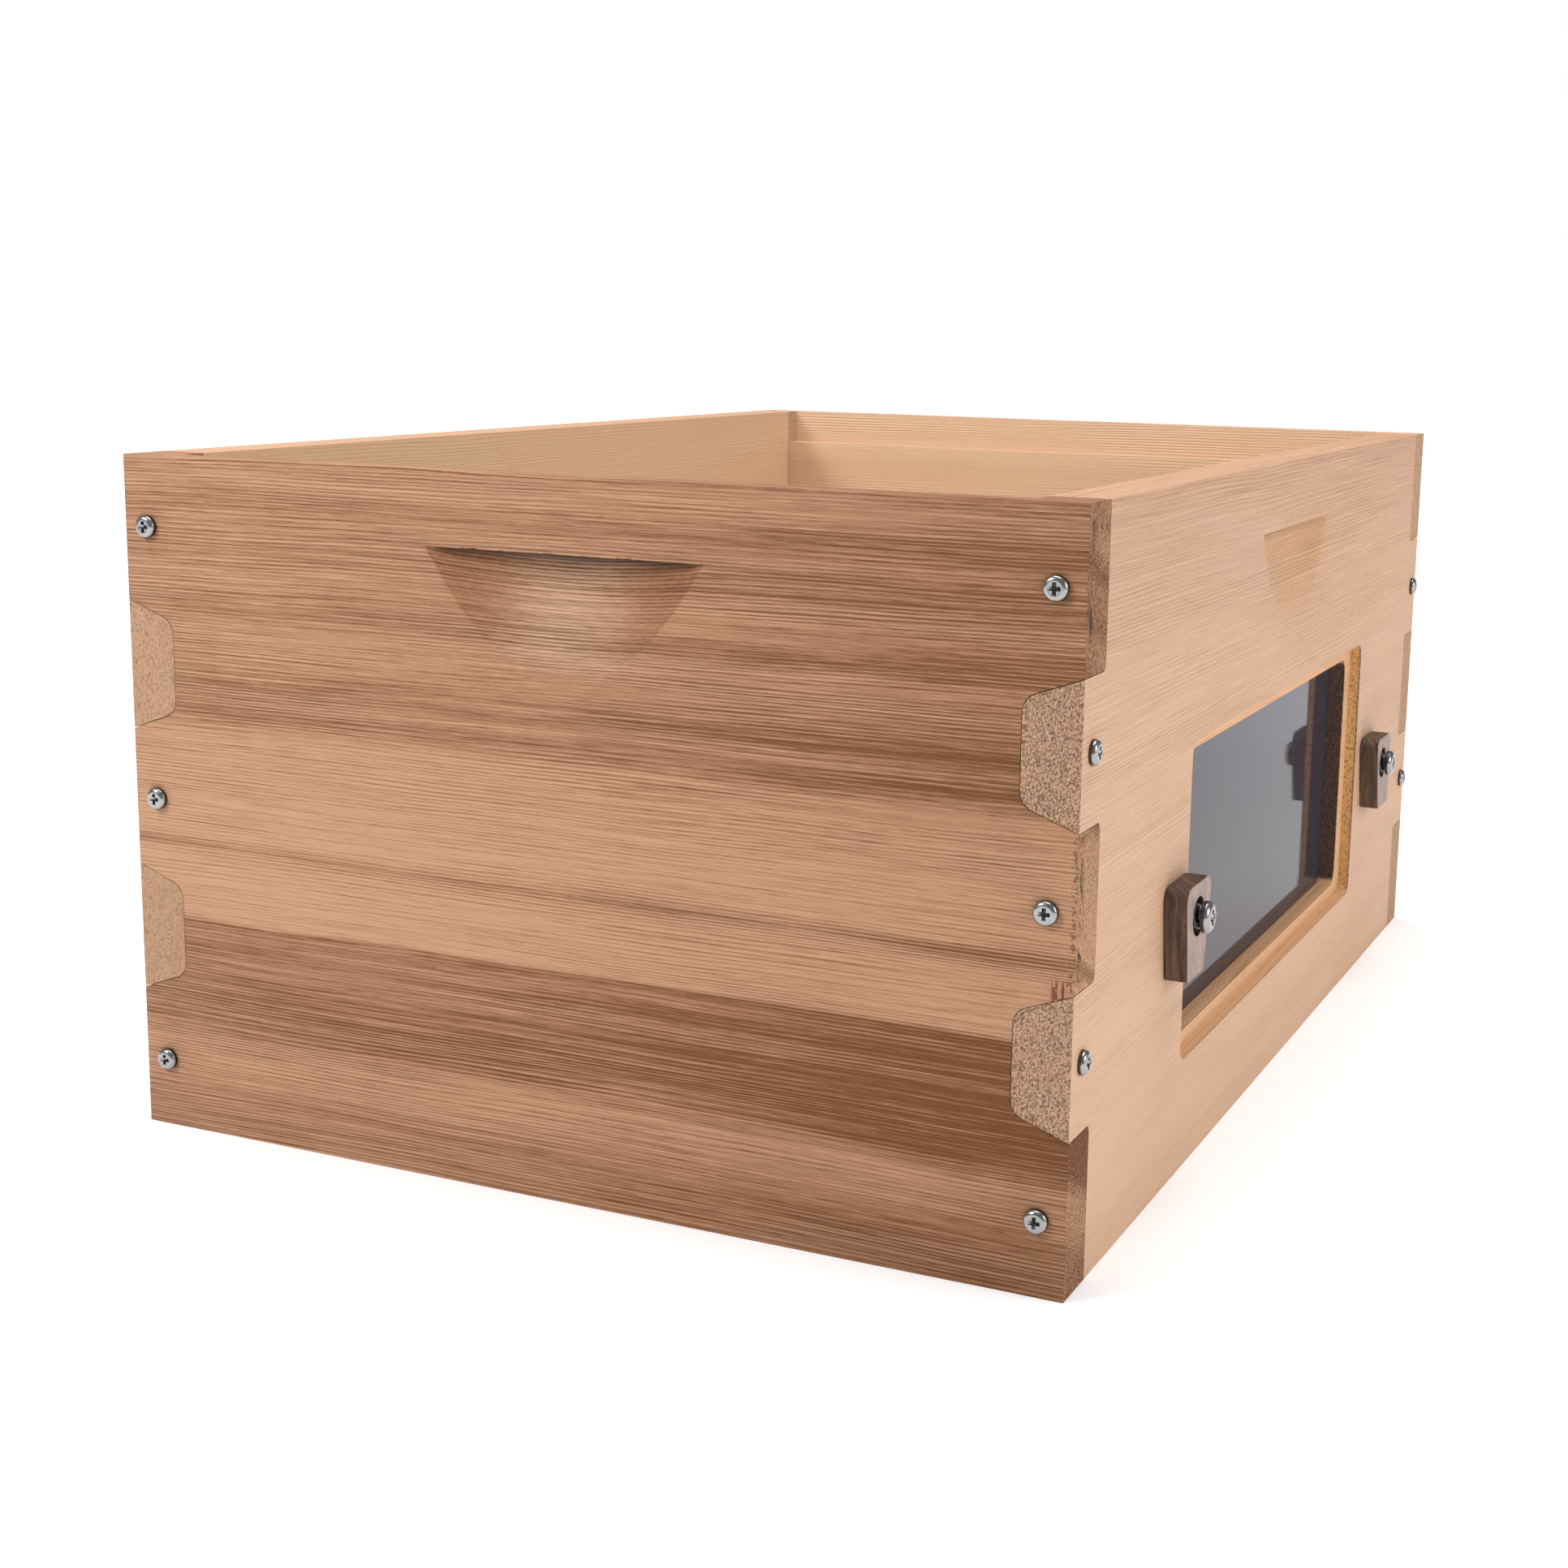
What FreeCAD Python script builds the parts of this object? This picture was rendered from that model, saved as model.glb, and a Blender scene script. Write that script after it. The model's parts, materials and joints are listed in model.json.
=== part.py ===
"""Wooden hive body with a viewing window in one long wall.

Four boards meet in tapered finger joints that screws hold. A dark pane sits in a rebate in the
right-hand wall behind four glazing beads. Two sprung turn-buttons beside the window would keep a
cover panel in the recess around it.

Hive axes while modelling: X across the hive, with the window wall at +X, Y along it and Z up,
with the origin under the middle of the box. The finished solids move sideways by SHIFT_X, so that
the origin ends under the middle of everything, screw heads included.
"""
import FreeCAD, Part
import math
import os

Vector = FreeCAD.Vector

# Box
WIDTH = 355.6
LENGTH = 508.0
HEIGHT = 244.5
BOARD = 19.0

# Finger joints: two side-board fingers in each corner, tapering inwards
FINGER_PITCH = 96.0
FINGER_HEIGHT = 46.0
FINGER_TAPER = math.radians(20)
FINGER_ROUND = 6.0
ROOT_ROUND = 3.0
JOINT_GAP = 0.25

# Rabbets that carry the frame ends, in the top inner edges of the end boards
REST_WIDTH = 9.5
REST_DEPTH = 16.0

# Handholds: a leaning cylindrical scoop under a flat roof
HANDHOLD_ROOF = 219.3
HANDHOLD_FOOT = 176.0
HANDHOLD_DEPTH = 12.0
HANDHOLD_RADIUS = 125.0

# Corner screws
SCREW_INSET = 9.5
SCREW_LENGTH = 32.0
SCREW_RADIUS = 2.0
HEAD_RADIUS = 4.0
HEAD_HEIGHT = 2.4
PILOT_CLEARANCE = 0.1

# Window
WINDOW_HEIGHT_CENTRE = 98.0
RECESS_LENGTH = 270.0
RECESS_HEIGHT = 115.0
RECESS_DEPTH = 4.8
RECESS_ROUND = 6.0
SIGHT_LENGTH = 251.0
SIGHT_HEIGHT = 103.0
SIGHT_ROUND = 7.0
PANE_SETBACK = 11.5
PANE_THICKNESS = 4.0
REBATE_LAP = 8.0
PANE_CLEARANCE = 0.5
BEAD_CLEARANCE = 0.15
PIN_RADIUS = 0.7
PIN_LENGTH = 15.0
PIN_HEAD_RADIUS = 1.3
PIN_HEAD_HEIGHT = 0.5

# Turn-buttons, outlines measured from the screw each one turns on
BUTTON_THICKNESS = 8.2
BUTTON_FACE_GAP = 0.2
BUTTON_TOP = 12.0
BUTTON_BOTTOM = 21.0
BUTTON_TOP_ROUND = 5.0
BUTTON_BOTTOM_ROUND = 1.2
BUTTON_PIVOT_HEIGHT = 98.3
COUNTERBORE_RADIUS = 6.75
COUNTERBORE_DEPTH = 5.4
PIVOT_RADIUS = 2.25
PIVOT_RUNNING_FIT = 0.05
PIVOT_BITE = 16.0
PIVOT_HEAD_RADIUS = 5.6
PIVOT_HEAD_HEIGHT = 3.0
PIVOT_HEAD_UNDERSIDE = 10.3
SPRING_RADIUS = 4.0
SPRING_WIRE = 0.5
SPRING_TURNS = 3.5
SPRING_STEPS = 16
SPRING_END_GAP = 0.15

# Each button: distance of its screw from the front face, then its upper and lower reach
# towards the window, and its upper and lower reach away from it
BUTTONS = {
    "front": {"y": 105.0, "window": (15.5, 8.5), "outer": (15.5, 10.5)},
    "rear": {"y": 410.0, "window": (14.0, 5.6), "outer": (15.5, 16.0)},
}

HALF_WIDTH = WIDTH / 2
HALF_LENGTH = LENGTH / 2
SHIFT_X = (HEAD_HEIGHT - PIVOT_HEAD_UNDERSIDE - PIVOT_HEAD_HEIGHT) / 2
FINGER_CENTRES = (HEIGHT / 2 - FINGER_PITCH / 2, HEIGHT / 2 + FINGER_PITCH / 2)
END_SCREW_HEIGHTS = (25.0, HEIGHT / 2, HEIGHT - 25.0)
REBATE_LENGTH = SIGHT_LENGTH + 2 * REBATE_LAP
REBATE_HEIGHT = SIGHT_HEIGHT + 2 * REBATE_LAP
BEAD_DEPTH = BOARD - PANE_SETBACK - PANE_THICKNESS


def block(x_range, y_range, z_range):
    """Box between two values on each axis."""
    low = Vector(x_range[0], y_range[0], z_range[0])
    size = Vector(x_range[1], y_range[1], z_range[1]) - low
    return Part.makeBox(size.x, size.y, size.z, low)


def rounded_face(corners, radii):
    """Flat face with straight sides, each corner rounded by its own radius (0 keeps it sharp)."""
    edges = []
    count = len(corners)
    entries = []
    exits = []
    for i, (corner, radius) in enumerate(zip(corners, radii)):
        to_last = (corners[i - 1] - corner).normalize()
        to_next = (corners[(i + 1) % count] - corner).normalize()
        half_angle = to_last.getAngle(to_next) / 2
        run = radius / math.tan(half_angle)
        entries.append(corner + to_last * run)
        exits.append(corner + to_next * run)
        if radius > 0:
            inward = (to_last + to_next).normalize()
            middle = corner + inward * (radius / math.sin(half_angle) - radius)
            edges.append(Part.Arc(entries[i], middle, exits[i]).toShape())
        if i > 0:
            edges.append(Part.makeLine(exits[i - 1], entries[i]))
    edges.append(Part.makeLine(exits[-1], entries[0]))
    return Part.Face(Part.Wire(Part.__sortEdges__(edges)))


def wall_panel(x_range, length, height, radius):
    """Rounded rectangular slab standing parallel to the window wall, centred on the window."""
    z_mid = WINDOW_HEIGHT_CENTRE
    corners = []
    for y_sign, z_sign in ((-1, -1), (1, -1), (1, 1), (-1, 1)):
        corners.append(Vector(x_range[0], y_sign * length / 2, z_mid + z_sign * height / 2))
    face = rounded_face(corners, [radius] * 4)
    return face.extrude(Vector(x_range[1] - x_range[0], 0, 0))


def finger_prism(centre, y_range, grow):
    """Tapered side-board finger in a +X corner; grow makes it larger all round, for the socket."""
    slope = math.tan(FINGER_TAPER)
    half = FINGER_HEIGHT / 2 + grow / math.cos(FINGER_TAPER)
    depth = BOARD + grow
    outside = HALF_WIDTH
    inside = HALF_WIDTH - depth
    corners = [
        Vector(outside, y_range[0], centre - half),
        Vector(outside, y_range[0], centre + half),
        Vector(inside, y_range[0], centre + half - slope * depth),
        Vector(inside, y_range[0], centre - half + slope * depth),
    ]
    face = rounded_face(corners, [0, 0, FINGER_ROUND + grow, FINGER_ROUND + grow])
    return face.extrude(Vector(0, y_range[1] - y_range[0], 0))


def root_fillet(centre, side, grow):
    """Small fillet at one finger's root in the front +X corner, above (side 1) or below it (-1)."""
    root_y = -HALF_LENGTH + BOARD
    root_z = centre + side * FINGER_HEIGHT / 2
    hub = Vector(HALF_WIDTH, root_y - ROOT_ROUND, root_z + side * ROOT_ROUND)
    radius = ROOT_ROUND + grow
    corner = Vector(HALF_WIDTH, root_y + grow, root_z - side * grow)
    start = hub + Vector(0, radius, 0)
    end = hub + Vector(0, 0, -side * radius)
    middle = hub + Vector(0, radius, -side * radius) * math.sqrt(0.5)
    edges = [
        Part.makeLine(corner, start),
        Part.Arc(start, middle, end).toShape(),
        Part.makeLine(end, corner),
    ]
    run = BOARD - 2 * FINGER_ROUND
    lean = Vector(-run, 0, -side * run * math.tan(FINGER_TAPER))
    return Part.Face(Part.Wire(edges)).extrude(lean)


def mirrored(shape, across_x, across_y):
    """The shape, mirrored to the -X side and to the rear where asked."""
    if across_x:
        shape = shape.mirror(Vector(0, 0, 0), Vector(1, 0, 0))
    if across_y:
        shape = shape.mirror(Vector(0, 0, 0), Vector(0, 1, 0))
    return shape


def handhold_scoop(reach, turn):
    """Cutter for the handhold in the wall that stands `reach` from the middle, `turn` degrees
    round from +X."""
    lean = math.atan(HANDHOLD_DEPTH / (HANDHOLD_ROOF - HANDHOLD_FOOT))
    wide = HANDHOLD_RADIUS / math.cos(lean)
    direction = Vector(-math.sin(lean), 0, math.cos(lean))
    foot = Vector(reach + wide, 0, HANDHOLD_FOOT)
    start = foot - direction * HANDHOLD_RADIUS
    scoop = Part.makeCylinder(HANDHOLD_RADIUS, 3 * HANDHOLD_RADIUS, start, direction)
    span = (-HANDHOLD_RADIUS, HANDHOLD_RADIUS)
    below_roof = block((reach - BOARD, reach + HANDHOLD_RADIUS), span, (0, HANDHOLD_ROOF))
    scoop = scoop.common(below_roof)
    scoop.rotate(Vector(0, 0, 0), Vector(0, 0, 1), turn)
    return scoop


def cross_recess(reach, depth):
    """Cross-shaped driver recess cut down from z = 0: two crossing slots inside a cone."""
    slot = reach * 0.28
    size = (-reach, reach)
    bars = block(size, (-slot, slot), (-depth, 1)).fuse(block((-slot, slot), size, (-depth, 1)))
    cone = Part.makeCone(reach * 0.35, reach, depth, Vector(0, 0, -depth))
    return bars.common(cone)


def screw(head_radius, head_height, shank_radius, length, recess_depth):
    """Pan-head screw standing on z = 0 with its point down."""
    rim = head_height * 0.42
    crown = head_radius * 0.5
    shoulder = Vector(head_radius * 0.86, 0, head_height * 0.84)
    flank = [
        Part.makeLine(Vector(0, 0, 0), Vector(head_radius, 0, 0)),
        Part.makeLine(Vector(head_radius, 0, 0), Vector(head_radius, 0, rim)),
        Part.Arc(Vector(head_radius, 0, rim), shoulder, Vector(crown, 0, head_height)).toShape(),
        Part.makeLine(Vector(crown, 0, head_height), Vector(0, 0, head_height)),
        Part.makeLine(Vector(0, 0, head_height), Vector(0, 0, 0)),
    ]
    head = Part.Face(Part.Wire(flank)).revolve(Vector(0, 0, 0), Vector(0, 0, 1), 360)
    recess = cross_recess(head_radius * 0.58, recess_depth)
    recess.translate(Vector(0, 0, head_height))
    point = shank_radius * 2.5
    shank = Part.makeCylinder(shank_radius, length - point, Vector(0, 0, point - length))
    tip = Part.makeCone(shank_radius * 0.1, shank_radius, point, Vector(0, 0, -length))
    return head.cut(recess).fuse([shank, tip]).removeSplitter()


def aimed(shape, place, outward):
    """A part made along +Z, turned to point along `outward` and put at `place`."""
    turn = FreeCAD.Rotation(Vector(0, 0, 1), outward)
    placed = shape.copy()
    placed.Placement = FreeCAD.Placement(place, turn)
    return placed


def corner_screw_places():
    """Name, place of the head's underside and outward direction of all corner screws."""
    places = []
    for end, y_sign in (("front", -1), ("rear", 1)):
        for hand, x_sign in (("left", -1), ("right", 1)):
            inset_x = x_sign * (HALF_WIDTH - SCREW_INSET)
            inset_y = y_sign * (HALF_LENGTH - SCREW_INSET)
            for number, z in enumerate(END_SCREW_HEIGHTS, 1):
                name = f"screw_{end}_{hand}_end_{number}"
                places.append((name, Vector(inset_x, y_sign * HALF_LENGTH, z), Vector(0, y_sign, 0)))
            for number, z in enumerate(FINGER_CENTRES, 1):
                name = f"screw_{end}_{hand}_side_{number}"
                places.append((name, Vector(x_sign * HALF_WIDTH, inset_y, z), Vector(x_sign, 0, 0)))
    return places


def pilot_holes():
    """Holes in the boards for every corner screw."""
    length = SCREW_LENGTH + PILOT_CLEARANCE
    hole = Part.makeCylinder(SCREW_RADIUS + PILOT_CLEARANCE, length + 1, Vector(0, 0, -length))
    return [aimed(hole, place, outward) for _, place, outward in corner_screw_places()]


def end_board(rear):
    """Front or rear board: sockets for the side fingers, a rabbet for the frames, a handhold."""
    inner_y = -HALF_LENGTH + BOARD
    board = block((-HALF_WIDTH, HALF_WIDTH), (-HALF_LENGTH, inner_y), (0, HEIGHT))
    cutters = []
    for centre in FINGER_CENTRES:
        socket = finger_prism(centre, (-HALF_LENGTH - 1, inner_y + 1), JOINT_GAP)
        rounds = [root_fillet(centre, side, 0) for side in (-1, 1)]
        for cutter in [socket] + rounds:
            cutters.append(cutter)
            cutters.append(mirrored(cutter, True, False))
    half_inside = HALF_WIDTH - BOARD
    cutters.append(block((-half_inside, half_inside), (inner_y - REST_WIDTH, inner_y + 1),
                         (HEIGHT - REST_DEPTH, HEIGHT + 1)))
    cutters.append(handhold_scoop(HALF_LENGTH, -90))
    board = mirrored(board.cut(cutters), False, rear)
    return board.cut(pilot_holes())


def side_board():
    """Plain long wall at +X: the part between the end boards and four fingers."""
    root_y = HALF_LENGTH - BOARD - JOINT_GAP
    board = block((HALF_WIDTH - BOARD, HALF_WIDTH), (-root_y, root_y), (0, HEIGHT))
    pieces = []
    for centre in FINGER_CENTRES:
        finger = finger_prism(centre, (-HALF_LENGTH, -root_y + 1), 0)
        rounds = [root_fillet(centre, side, JOINT_GAP) for side in (-1, 1)]
        for piece in [finger] + rounds:
            pieces.append(piece)
            pieces.append(mirrored(piece, False, True))
    board = board.fuse(pieces).removeSplitter()
    return board.cut(handhold_scoop(HALF_WIDTH, 0))


def window_wall():
    """The +X wall with its recess, sight opening, rebate, pin holes and pivot screw holes."""
    inner_x = HALF_WIDTH - BOARD
    recess = (HALF_WIDTH - RECESS_DEPTH, HALF_WIDTH + 1)
    rebate = (inner_x - 1, HALF_WIDTH - PANE_SETBACK)
    cutters = [
        wall_panel(recess, RECESS_LENGTH, RECESS_HEIGHT, RECESS_ROUND),
        wall_panel((inner_x, HALF_WIDTH), SIGHT_LENGTH, SIGHT_HEIGHT, SIGHT_ROUND),
        wall_panel(rebate, REBATE_LENGTH, REBATE_HEIGHT, 0),
    ]
    bite = PIVOT_BITE + PILOT_CLEARANCE
    pilot = Part.makeCylinder(PIVOT_RADIUS + PILOT_CLEARANCE, bite + 1, Vector(0, 0, -bite))
    for button in BUTTONS.values():
        cutters.append(aimed(pilot, pivot_point(button), Vector(1, 0, 0)))
    cutters += [aimed(pin_hole(), place, outward) for place, outward in pin_places()]
    return side_board().cut(cutters + pilot_holes())


def pane():
    """Smoked pane filling the rebate behind the lip of the sight opening."""
    front = HALF_WIDTH - PANE_SETBACK
    length = REBATE_LENGTH - 2 * PANE_CLEARANCE
    height = REBATE_HEIGHT - 2 * PANE_CLEARANCE
    return wall_panel((front - PANE_THICKNESS, front), length, height, 0)


def glazing_bead(direction):
    """Mitred strip that holds one edge of the pane; direction is up, down, front or rear."""
    back = HALF_WIDTH - BOARD
    gap = BEAD_CLEARANCE
    along, away = {
        "up": (Vector(0, 1, 0), Vector(0, 0, 1)),
        "down": (Vector(0, 1, 0), Vector(0, 0, -1)),
        "front": (Vector(0, 0, 1), Vector(0, -1, 0)),
        "rear": (Vector(0, 0, 1), Vector(0, 1, 0)),
    }[direction]
    lies_flat = direction in ("up", "down")
    half_run = (REBATE_LENGTH if lies_flat else REBATE_HEIGHT) / 2 - gap
    reach = (REBATE_HEIGHT if lies_flat else REBATE_LENGTH) / 2 - gap
    centre = Vector(back, 0, WINDOW_HEIGHT_CENTRE)
    width = REBATE_LAP - gap
    mitre = gap * math.sqrt(0.5)
    corners = [
        centre + away * reach - along * (half_run - mitre),
        centre + away * reach + along * (half_run - mitre),
        centre + away * (reach - width) + along * (half_run - width - mitre),
        centre + away * (reach - width) - along * (half_run - width - mitre),
    ]
    face = rounded_face(corners, [0] * 4)
    strip = face.extrude(Vector(BEAD_DEPTH - gap, 0, 0))
    return strip.cut([aimed(pin_hole(), place, outward) for place, outward in pin_places()])


def pin_places():
    """Head place and outward direction of the bead pins: two in each bead, driven edgeways."""
    mid_x = HALF_WIDTH - BOARD + BEAD_DEPTH / 2
    mid_z = WINDOW_HEIGHT_CENTRE
    places = []
    for sign in (-1, 1):
        for other in (-1, 1):
            level = Vector(mid_x, other * SIGHT_LENGTH / 4, mid_z + sign * SIGHT_HEIGHT / 2)
            upright = Vector(mid_x, sign * SIGHT_LENGTH / 2, mid_z + other * SIGHT_HEIGHT / 4)
            places.append((level, Vector(0, 0, -sign)))
            places.append((upright, Vector(0, -sign, 0)))
    return places


def pin_hole():
    """Hole for one bead pin, made along -Z from its head."""
    radius = PIN_RADIUS + PILOT_CLEARANCE / 2
    return Part.makeCylinder(radius, PIN_LENGTH + 1, Vector(0, 0, -PIN_LENGTH))


def bead_pins():
    """All the bead pins, as separate solids."""
    shank = Part.makeCylinder(PIN_RADIUS, PIN_LENGTH - 0.2, Vector(0, 0, 0.2 - PIN_LENGTH))
    head = Part.makeCylinder(PIN_HEAD_RADIUS, PIN_HEAD_HEIGHT)
    pin = shank.fuse(head).removeSplitter()
    return Part.makeCompound([aimed(pin, place, outward) for place, outward in pin_places()])


def pivot_point(button):
    """Where a button's screw enters the outer face of the window wall."""
    return Vector(HALF_WIDTH, button["y"] - HALF_LENGTH, BUTTON_PIVOT_HEIGHT)


def turn_button(button, window_sign):
    """Turn-button hanging from its screw; window_sign is +1 when the window lies towards +Y."""
    pivot = pivot_point(button) + Vector(BUTTON_FACE_GAP, 0, 0)
    upper, lower = button["window"]
    outer_upper, outer_lower = button["outer"]
    corners = [
        pivot + Vector(0, -window_sign * outer_lower, -BUTTON_BOTTOM),
        pivot + Vector(0, window_sign * lower, -BUTTON_BOTTOM),
        pivot + Vector(0, window_sign * upper, BUTTON_TOP),
        pivot + Vector(0, -window_sign * outer_upper, BUTTON_TOP),
    ]
    radii = [BUTTON_BOTTOM_ROUND, BUTTON_BOTTOM_ROUND, BUTTON_TOP_ROUND, BUTTON_TOP_ROUND]
    body = rounded_face(corners, radii).extrude(Vector(BUTTON_THICKNESS, 0, 0))
    axis = Vector(1, 0, 0)
    bore = Part.makeCylinder(PIVOT_RADIUS + PIVOT_RUNNING_FIT, BOARD, pivot - axis, axis)
    floor = pivot + axis * (BUTTON_THICKNESS - COUNTERBORE_DEPTH)
    counterbore = Part.makeCylinder(COUNTERBORE_RADIUS, BOARD, floor, axis)
    return body.cut([bore, counterbore])


def pivot_screw(button):
    """Screw that a button turns on, its head standing clear of the button on the spring."""
    length = PIVOT_HEAD_UNDERSIDE + PIVOT_BITE
    shape = screw(PIVOT_HEAD_RADIUS, PIVOT_HEAD_HEIGHT, PIVOT_RADIUS, length, 2.0)
    place = pivot_point(button) + Vector(PIVOT_HEAD_UNDERSIDE, 0, 0)
    return aimed(shape, place, Vector(1, 0, 0))


def pivot_spring(button):
    """Compression spring between the counterbore's floor and the screw head."""
    floor = BUTTON_FACE_GAP + BUTTON_THICKNESS - COUNTERBORE_DEPTH
    room = PIVOT_HEAD_UNDERSIDE - floor - 2 * SPRING_END_GAP
    rise = room - 2 * SPRING_WIRE
    climb = math.atan2(rise, SPRING_TURNS * math.tau * SPRING_RADIUS)
    steps = round(SPRING_TURNS * SPRING_STEPS)
    sections = []
    for step in range(steps + 1):
        section = Part.makePolygon(wire_section(climb))
        section.rotate(Vector(0, 0, 0), Vector(0, 0, 1), 360 * SPRING_TURNS * step / steps)
        section.translate(Vector(0, 0, rise * step / steps))
        sections.append(section)
    coil = Part.makeLoft(sections, True, True)
    place = pivot_point(button) + Vector(floor + SPRING_END_GAP + SPRING_WIRE, 0, 0)
    return aimed(coil, place, Vector(1, 0, 0))


def wire_section(climb):
    """Corners of the spring wire's eight-sided section at the coil's start."""
    corners = []
    for corner in range(9):
        angle = math.tau * corner / 8
        across = SPRING_RADIUS + SPRING_WIRE * math.cos(angle)
        up = SPRING_WIRE * math.sin(angle)
        corners.append(Vector(across, -up * math.sin(climb), up * math.cos(climb)))
    return corners


def build():
    """Every sub-part by name, in hive axes."""
    parts = {
        "front_board": end_board(rear=False),
        "rear_board": end_board(rear=True),
        "left_side_board": mirrored(side_board(), True, False).cut(pilot_holes()),
        "window_side_board": window_wall(),
        "window_pane": pane(),
        "bead_pins": bead_pins(),
    }
    for edge, direction in (("top", "up"), ("bottom", "down"), ("front", "front"), ("rear", "rear")):
        parts[f"glazing_bead_{edge}"] = glazing_bead(direction)
    for (name, button), window_sign in zip(BUTTONS.items(), (1, -1)):
        parts[f"{name}_turn_button"] = turn_button(button, window_sign)
        parts[f"{name}_pivot_screw"] = pivot_screw(button)
        parts[f"{name}_pivot_spring"] = pivot_spring(button)
    corner_screw = screw(HEAD_RADIUS, HEAD_HEIGHT, SCREW_RADIUS, SCREW_LENGTH, 1.6)
    for name, place, outward in corner_screw_places():
        parts[name] = aimed(corner_screw, place, outward)
    return parts


os.makedirs("parts", exist_ok=True)
for part_name, solid in build().items():
    solid.translate(Vector(SHIFT_X, 0, 0))
    solid.exportStep(f"parts/{part_name}.step")
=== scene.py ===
"""Looks of the cedar hive body with its viewing window.

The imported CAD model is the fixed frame. Each sub-assembly below copies the shapes that it dresses,
eases their edges, gives them their finish and rides them on the CAD body they belong to.
Sizes are metres in the mesh code and millimetres in the finishes and in the fields that say so.
"""

import json
import logging
import math
from collections.abc import Iterable
from dataclasses import dataclass
from enum import Enum

import bmesh
import bpy
import numpy as np
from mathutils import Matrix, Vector

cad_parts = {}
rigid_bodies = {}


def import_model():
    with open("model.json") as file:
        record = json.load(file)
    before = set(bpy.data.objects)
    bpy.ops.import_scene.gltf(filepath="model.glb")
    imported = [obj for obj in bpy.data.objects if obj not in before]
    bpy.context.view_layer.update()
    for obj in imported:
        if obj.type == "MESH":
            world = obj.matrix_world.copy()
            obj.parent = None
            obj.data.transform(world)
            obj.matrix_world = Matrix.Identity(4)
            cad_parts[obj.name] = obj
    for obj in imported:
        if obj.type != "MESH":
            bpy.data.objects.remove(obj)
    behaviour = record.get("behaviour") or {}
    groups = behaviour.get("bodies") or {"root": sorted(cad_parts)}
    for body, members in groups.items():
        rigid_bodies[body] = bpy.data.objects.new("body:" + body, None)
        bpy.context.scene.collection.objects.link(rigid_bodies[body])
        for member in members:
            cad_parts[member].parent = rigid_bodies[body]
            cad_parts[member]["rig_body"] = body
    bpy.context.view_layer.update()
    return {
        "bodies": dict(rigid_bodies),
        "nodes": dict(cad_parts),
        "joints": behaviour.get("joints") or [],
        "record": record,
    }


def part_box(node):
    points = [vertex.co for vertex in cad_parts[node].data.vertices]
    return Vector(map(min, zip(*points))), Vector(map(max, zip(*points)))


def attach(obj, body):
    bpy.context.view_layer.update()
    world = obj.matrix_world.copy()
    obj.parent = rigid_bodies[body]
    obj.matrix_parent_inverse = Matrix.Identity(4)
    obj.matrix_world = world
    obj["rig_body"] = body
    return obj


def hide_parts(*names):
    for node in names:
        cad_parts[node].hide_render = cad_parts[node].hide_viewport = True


log = logging.getLogger("hive")
MM = 0.001
Colour = tuple[float, float, float]
Point = tuple[float, float, float]


class Axis(Enum):
    """An axis of the hive, as its place in a vector."""

    ACROSS = 0
    ALONG = 1
    UP = 2


# ---------------------------------------------------------------- shader maths


class Wire:
    """An output socket that Python's operators turn into Math nodes."""

    def __init__(self, graph: "Graph", socket: bpy.types.NodeSocket) -> None:
        """Remembers the graph that new nodes go to.

        Args:
            graph: The graph the socket belongs to.
            socket: The output to wrap.
        """
        self.graph = graph
        self.socket = socket

    def __add__(self, other: "Number") -> "Wire":
        """Sum with another value."""
        return self.graph.maths("ADD", self, other)

    def __sub__(self, other: "Number") -> "Wire":
        """Difference to another value."""
        return self.graph.maths("SUBTRACT", self, other)

    def __rsub__(self, other: "Number") -> "Wire":
        """Difference from another value."""
        return self.graph.maths("SUBTRACT", other, self)

    def __mul__(self, other: "Number") -> "Wire":
        """Product with another value."""
        return self.graph.maths("MULTIPLY", self, other)

    def __truediv__(self, other: "Number") -> "Wire":
        """Quotient by another value."""
        return self.graph.maths("DIVIDE", self, other)

    def __pow__(self, power: float) -> "Wire":
        """Power of the value, which is not negative."""
        return self.graph.maths("POWER", self, power)

    def __abs__(self) -> "Wire":
        """Size of the value without its sign."""
        return self.graph.maths("ABSOLUTE", self)

    __radd__ = __add__
    __rmul__ = __mul__

    def part(self) -> "Wire":
        """The value's part after the decimal point."""
        return self.graph.maths("FRACT", self)

    def rise(self, low: float, high: float) -> "Wire":
        """A soft step from 0 to 1.

        Args:
            low: Where the step starts. It may be above high, for a fall.
            high: Where the step ends.

        Returns:
            The step as a value.
        """
        if low > high:
            return 1.0 - self.rise(high, low)
        node = self.graph.add(
            "ShaderNodeMapRange",
            {"interpolation_type": "SMOOTHSTEP"},
            {"Value": self, "From Min": low, "From Max": high},
        )
        return Wire(self.graph, node.outputs[0])


Number = Wire | float


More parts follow.
